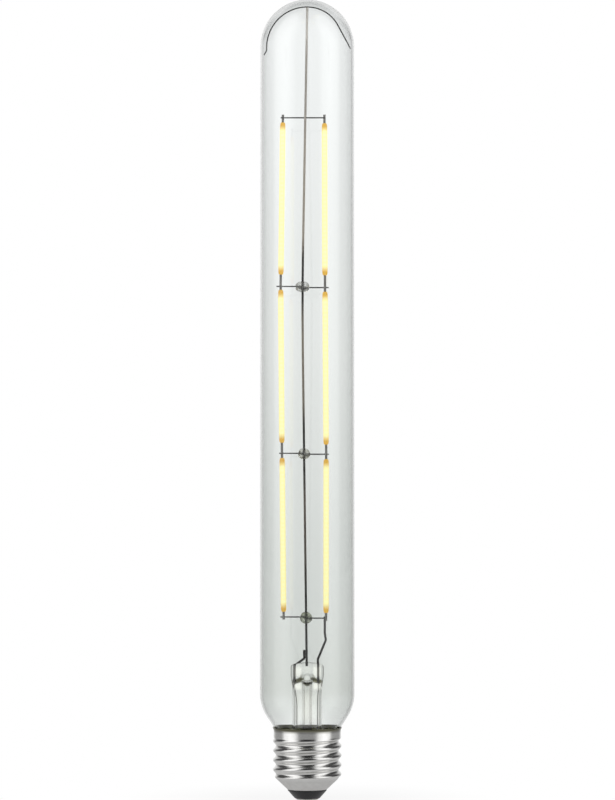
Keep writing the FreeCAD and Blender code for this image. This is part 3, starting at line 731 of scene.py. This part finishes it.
def filament_finish():
    finish = Finish("filament_coat")
    glow = finish.add("ShaderNodeAttribute", {"attribute_name": "glow"}, {}, "Color")
    chips = finish.maths("SINE", finish.place("Z") * (2 * math.pi / (CHIP_PITCH * MM))) * 0.5 + 0.5
    glow = finish.add("ShaderNodeMix", {"data_type": "RGBA", "blend_type": "MULTIPLY"}, {
        0: chips, 6: glow, 7: CHIP_SHADE}, 2)
    return finish.surface({
        "Base Color": finish.mixed(chips * 0.4, (0.16, 0.11, 0.02, 1), (0.3, 0.2, 0.04, 1)),
        "Roughness": 0.35,
        "Specular IOR Level": 0.2,
        "Emission Color": glow,
        "Emission Strength": 1.1,
    })


# %% [markdown]
# ## Cement, board and the rest
#
# The cement is dark and grainy. The rod, the wires and the tabs are already right as CAD solids, so
# they only get a finish. The board and its parts sit in the closed cap, where only a cut would show
# them, but their usual colours make the lamp complete when it is taken apart.

# %% Other finishes
def plain_finish(name, dark, light, roughness, grain=700, bump=0.2):
    return metal_finish(name, dark, light, roughness, grain, 0.0, bump)


finishes = {
    "clear_glass": tube_finish(),
    "bead_glass": bead_finish(),
    "black_glass": black_glass_finish(),
    "nickel_plate": nickel_finish(),
    "contact_metal": metal_finish("contact_metal", (0.5, 0.48, 0.44), (0.68, 0.66, 0.62), 0.32),
    "cement": plain_finish("cement", (0.05, 0.05, 0.0), (0.19, 0.18, 0.0), 0.9, grain=1800, bump=0.6),
    "dark_wire": metal_finish("dark_wire", (0.014, 0.013, 0.012), (0.035, 0.032, 0.03), 0.4, bump=0.3),
    "spring_wire": metal_finish("spring_wire", (0.02, 0.019, 0.018), (0.05, 0.047, 0.044), 0.4),
    "lead_wire": metal_finish("lead_wire", (0.02, 0.019, 0.018), (0.07, 0.066, 0.062), 0.35),
    "tab_metal": metal_finish("tab_metal", (0.10, 0.096, 0.09), (0.24, 0.23, 0.21), 0.4),
    "filament_coat": filament_finish(),
    "board_laminate": plain_finish("board_laminate", (0.6, 0.62, 0.54), (0.75, 0.77, 0.7), 0.5),
    "chip_plastic": plain_finish("chip_plastic", (0.015, 0.015, 0.016), (0.04, 0.04, 0.042), 0.5),
    "can_sleeve": plain_finish("can_sleeve", (0.03, 0.03, 0.045), (0.06, 0.06, 0.08), 0.3),
    "resistor_body": plain_finish("resistor_body", (0.22, 0.36, 0.45), (0.35, 0.5, 0.6), 0.35),
    "hook_up_wire": metal_finish("hook_up_wire", (0.55, 0.3, 0.12), (0.68, 0.4, 0.2), 0.3),
}
stem_glass, rod_oxide = stem_finish(), rod_finish()

own_slots = {
    glass_tube: "clear_glass",
    stem: "clear_glass",
    exhaust: "clear_glass",
    screw_cap: "nickel_plate",
    insulator: "black_glass",
    contact: "contact_metal",
    cement: "cement",
}
own_slots.update({coat: "filament_coat" for coat in filaments})
own_slots.update({bead: "bead_glass" for bead in beads})


def paint(piece, slot):
    piece.data.materials.clear()
    piece.data.materials.append(finishes[slot])


for piece, slot in own_slots.items():
    paint(piece, slot)
for part in frame["record"]["subparts"]:
    node = frame["nodes"][part["node"]]
    node.data.materials.clear()
    node.data.materials.append(finishes[part["material_slot"]])
frame["nodes"]["support_rod"].data.materials[0] = rod_oxide
for piece in (stem, exhaust):
    piece.data.materials[0] = stem_glass
print("finishes:", len(finishes) + 2)

# %% [markdown]
# ## Studio
#
# The lamp stands on a pale floor in front of white, and the camera sees nothing else behind it. Metal
# and glass need something dark to show their form, so they see a studio: a lit backdrop behind the
# lamp, a tall soft panel on each side of the camera, and dark gaps between. The panels give the cap
# its two white bands and the glass its soft ones. The gaps draw the dark lines at the glass's edges.
#
# The backdrop fades upwards, and the room is dark above it and in its upper corners, which outlines
# the dome and the thread. What is seen straight through glass has paler gaps, so that the lamp looks
# clear from every side. The floor is paper. To reflected and transmitted rays it shows a painted
# reflection of the studio round it, with a painted shadow round the lamp's foot.

# %% Floor, world and light
# Brightness by direction in degrees, with 0 on the camera's side and positive to the right
STUDIO = [
    (-180, 1.0), (-166, 0.96), (-150, 0.72), (-136, 0.28), (-118, 0.06), (-96, 0.06),
    (-82, 1.1), (-60, 1.35), (-42, 1.1), (-27, 0.04), (0, 0.02), (27, 0.04), (40, 1.1), (60, 1.35),
    (80, 1.1), (92, 0.04), (122, 0.04), (136, 0.2), (150, 0.62), (166, 0.93), (180, 1.0)]
PANEL_END = 95
FLOOR_GAP = 0.36
FOOT_SHADOW_GREY = 0.6
FLOOR_SIZE = 8.0
FLOOR_DROP = 0.2
GLASS_GAP_BESIDE = 0.8
GLASS_GAP_BEHIND = 0.46
CEILING = 0.06
BACKDROP_TOP = 0.18
BACKDROP_FADE = 0.76

bpy.ops.object.select_all(action="DESELECT")
bpy.ops.mesh.primitive_plane_add(size=FLOOR_SIZE, location=(0, FLOOR_SIZE / 4, -FLOOR_DROP * MM))
bpy.ops.object.transform_apply(location=True)
floor = bpy.context.object
floor.name = "floor"


def seen_by(finish, *kinds):
    """1 where a ray of one of these kinds sees the surface."""
    path = finish.add("ShaderNodeLightPath", {}, {}, kinds[0])
    seen = path
    for kind in kinds[1:]:
        seen = finish.maths("MAXIMUM", seen, Wire(finish, path.socket.node.outputs[kind]))
    return seen


def walls_towards(finish, turn, least_beside, least_behind):
    """The studio's walls, no darker than one value on the camera's side and another behind the lamp."""
    stops = []
    for degrees, value in STUDIO:
        least = least_beside if abs(degrees) < PANEL_END else least_behind
        stops.append((degrees / 360 + 0.5, grey(max(value, least))))
    return finish.ramp(turn, stops)


def walls_round(finish, position, least):
    """The studio's brightness towards a position, and how far across, behind and high that is."""
    across = finish.add("ShaderNodeSeparateXYZ", {}, {0: position}, "X")
    behind = Wire(finish, across.socket.node.outputs["Y"])
    height = Wire(finish, across.socket.node.outputs["Z"])
    turn = finish.maths("ARCTAN2", across, 0.0 - behind) * (0.5 / math.pi) + 0.5
    mirrored = walls_towards(finish, turn, least, least)
    through_glass = walls_towards(finish, turn, GLASS_GAP_BESIDE, GLASS_GAP_BEHIND)
    walls = finish.mixed(seen_by(finish, "Is Transmission Ray"), mirrored, through_glass)
    return walls, across, behind, height


def floor_finish():
    """White to the camera, but for the paper's own shading near the lamp, where its shadow falls."""
    finish = Finish("floor")
    paper = finish.add("ShaderNodeBsdfDiffuse", {}, {"Color": grey(0.8)}, "BSDF")
    white = finish.add("ShaderNodeEmission", {}, {"Color": grey(1), "Strength": 1.0})
    # Painted reflection: the studio's brightness painted on the floor round the lamp
    walls = walls_round(finish, finish.object_place(), FLOOR_GAP)[0]
    away = finish.add("ShaderNodeVectorMath", {"operation": "LENGTH"}, {0: finish.object_place()}, "Value")
    clear = finish.between(away, 0.01, 0.08) * 0.1 + 0.9
    # Painted shadow: a grey ring round the lamp's foot in that painted reflection
    reflection_with_foot_shadow = finish.mixed(finish.between(away, 0.025, 0.12), grey(FOOT_SHADOW_GREY), walls)
    painted_reflection = finish.add("ShaderNodeEmission", {}, {"Color": reflection_with_foot_shadow, "Strength": 1.0})
    shown = seen_by(finish, "Is Camera Ray") * clear
    reflected = seen_by(finish, "Is Glossy Ray", "Is Transmission Ray") * clear
    base = finish.add("ShaderNodeMixShader", {}, {0: reflected, 1: paper, 2: painted_reflection})
    return finish.output(finish.add("ShaderNodeMixShader", {}, {0: shown, 1: base, 2: white}))


floor.data.materials.append(floor_finish())
world = bpy.data.worlds.new("studio")
bpy.context.scene.world = world
studio = Finish("studio", world)
direction = studio.add("ShaderNodeTexCoord", {}, {}, "Generated")
walls, across, behind, rise = walls_round(studio, direction, 0.0)
# How far up, back or aside a direction points: 0 is not at all and 1 is straight that way
over_backdrop = studio.between(rise, BACKDROP_TOP, 0.4) * studio.between(behind, 0.3, 0.7)
walls = studio.mixed(over_backdrop, walls, grey(BACKDROP_FADE))
above_behind = studio.between(rise, 0.62, 0.84) * studio.between(behind, 0.0, 0.35)
dark = studio.maths("MAXIMUM", above_behind, studio.between(rise, 0.88, 1.0))
sideways = studio.maths("ABSOLUTE", across)
corners = studio.between(sideways, 0.42, 0.66) * studio.between(rise, 0.18, 0.3)
corners = corners * studio.between(behind, 0.0, 0.2)
dark = studio.maths("MAXIMUM", dark, corners)
room = studio.mixed(dark, walls, grey(CEILING))
room_light = studio.add("ShaderNodeBackground", {}, {"Color": room, "Strength": 1.0})
white_light = studio.add("ShaderNodeBackground", {}, {"Color": grey(1), "Strength": 1.0})
backdrop = studio.add("ShaderNodeMixShader", {}, {
    0: seen_by(studio, "Is Camera Ray"), 1: room_light, 2: white_light})
studio.output(backdrop, "ShaderNodeOutputWorld")
print("floor size in m:", FLOOR_SIZE, "studio directions:", len(STUDIO))

# %% [markdown]
# ## Camera
#
# The photo looks slightly down on the cap's rim and up at the dome, and the tube looks a little wider
# towards the cap. That is a camera about one metre away, at a third of the lamp's height, which looks
# up a little so that the whole lamp fills the picture.

# %% Camera
IMAGE_HEIGHT = 800
FOCAL_PIXELS = 2627.0
SENSOR_WIDTH = 36
CAMERA_PLACE = (0.0001, -1.0162, 0.108)
CAMERA_PITCH = math.radians(2.593)

camera_data = bpy.data.cameras.new("camera")
camera = bpy.data.objects.new("camera", camera_data)
bpy.context.collection.objects.link(camera)
camera.location = CAMERA_PLACE
camera.rotation_mode = "QUATERNION"
line_of_sight = Vector((0, math.cos(CAMERA_PITCH), math.sin(CAMERA_PITCH)))
camera.rotation_quaternion = line_of_sight.to_track_quat("-Z", "Y")
camera_data.sensor_width = SENSOR_WIDTH
camera_data.lens = FOCAL_PIXELS * SENSOR_WIDTH / IMAGE_HEIGHT
bpy.context.scene.camera = camera
bpy.context.scene.view_settings.view_transform = "Standard"
print("lens in mm:", round(camera_data.lens, 1))

# %% [markdown]
# ## Finish
#
# The finished lamp must be as large as the CAD model. The view layer is updated once more.

# %% Finish
bpy.context.view_layer.update()
